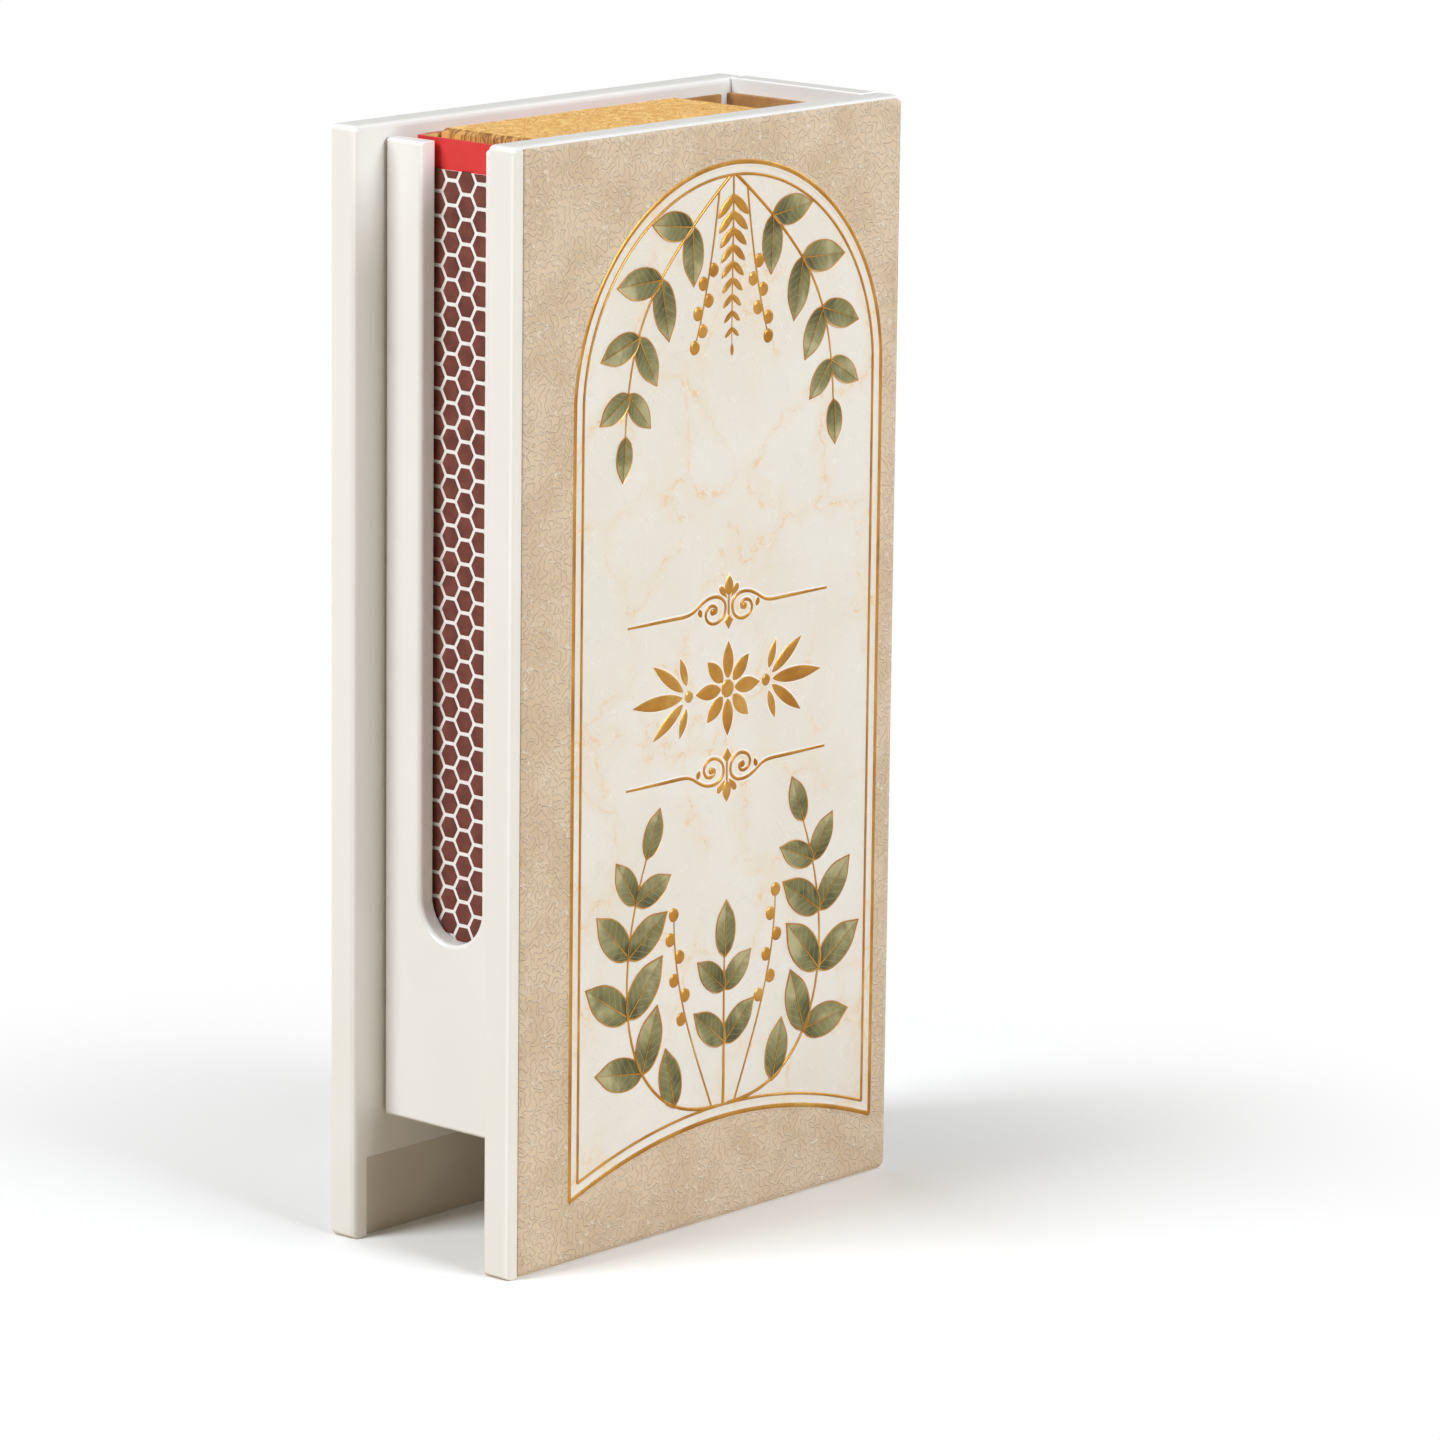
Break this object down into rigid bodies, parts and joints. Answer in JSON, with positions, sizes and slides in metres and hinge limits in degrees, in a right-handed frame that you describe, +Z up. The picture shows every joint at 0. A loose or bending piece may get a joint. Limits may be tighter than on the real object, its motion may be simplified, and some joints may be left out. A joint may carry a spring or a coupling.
{
  "type": "matchbox holder",
  "caption": "Upright book-shaped holder of white boards with a raised floor and a slotted side that bares the striker of the matchbox standing in it; the box lifts out and its tray slides.",
  "frame": {"origin": "middle of the footprint, on the surface that the holder stands on", "axes": "+Z up along the height, +X to the right along the front, -Y out of the decorated front"},
  "size_m": [0.0612, 0.0268, 0.12],
  "materials": {
    "white_lacquer": "satin warm white lacquer on board",
    "embossed_facing": "embossed leatherette in cream with beige, sage green and gold",
    "kraft_card": "matt kraft card",
    "red_card": "smooth printed card",
    "striker_coat": "matt abrasive coat in a honeycomb",
    "strawboard": "fibrous uncoated strawboard",
    "match_wood": "sawn aspen",
    "match_head": "matt dipped compound"
  },
  "bodies": {
    "holder": {"back_board": "white_lacquer", "front_board": "white_lacquer", "front_facing": "embossed_facing", "slotted_wall": "white_lacquer", "end_wall": "white_lacquer", "floor_panel": "white_lacquer", "back_liner": "kraft_card", "end_liner": "kraft_card"},
    "matchbox": {"matchbox_sleeve": "red_card", "striker_left": "striker_coat", "striker_right": "striker_coat"},
    "tray": {"matchbox_tray": "strawboard", "match_sticks": "match_wood", "match_heads": "match_head"}
  },
  "joints": [
    {"name": "matchbox_lift", "type": "slide", "parent": "holder", "child": "matchbox", "axis": [0, 0, 1], "range_m": [0, 0.11]},
    {"name": "tray_slide", "type": "slide", "parent": "matchbox", "child": "tray", "axis": [0, 0, 1], "range_m": [0, 0.085]}
  ]
}
